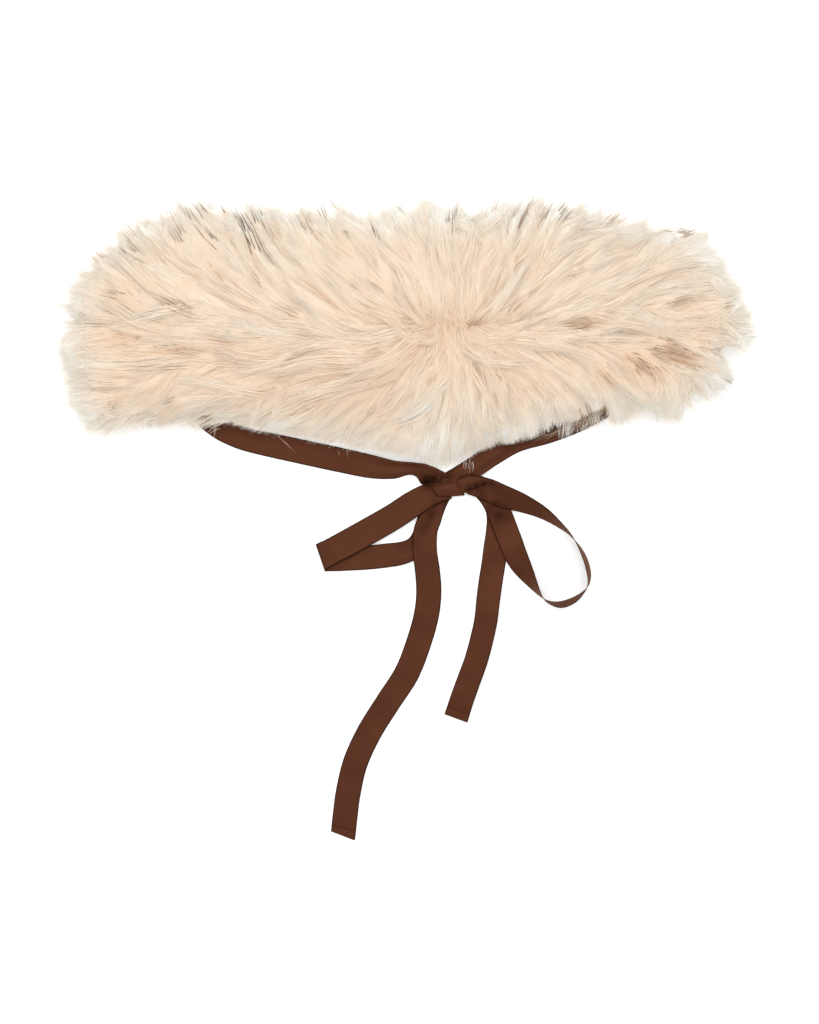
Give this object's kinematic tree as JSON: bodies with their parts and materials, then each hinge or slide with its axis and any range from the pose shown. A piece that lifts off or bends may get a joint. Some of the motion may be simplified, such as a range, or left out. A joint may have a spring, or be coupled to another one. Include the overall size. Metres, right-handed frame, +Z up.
{
  "type": "fur collar wrap",
  "caption": "Long-pile faux fur collar wrap laid flat, fur side up, its two satin ribbon ties tied in a bow below the band.",
  "frame": {"origin": "on the flat underside of the collar, midway along the band, where the collar rests", "axes": "+X along the band, +Y from the bow to the far edge of the fur, +Z up out of the pile"},
  "size_m": [0.584, 0.5349, 0.0481],
  "materials": {
    "fur": "long cream pile",
    "satin_ribbon": "satin"
  },
  "bodies": {
    "root": {"fur_left": "fur", "fur_right": "fur", "tie_left": "satin_ribbon", "tie_right": "satin_ribbon", "knot": "satin_ribbon", "knot_band": "satin_ribbon", "loop_left": "satin_ribbon", "loop_right": "satin_ribbon", "tail_left": "satin_ribbon", "tail_right": "satin_ribbon"}
  },
  "joints": []
}
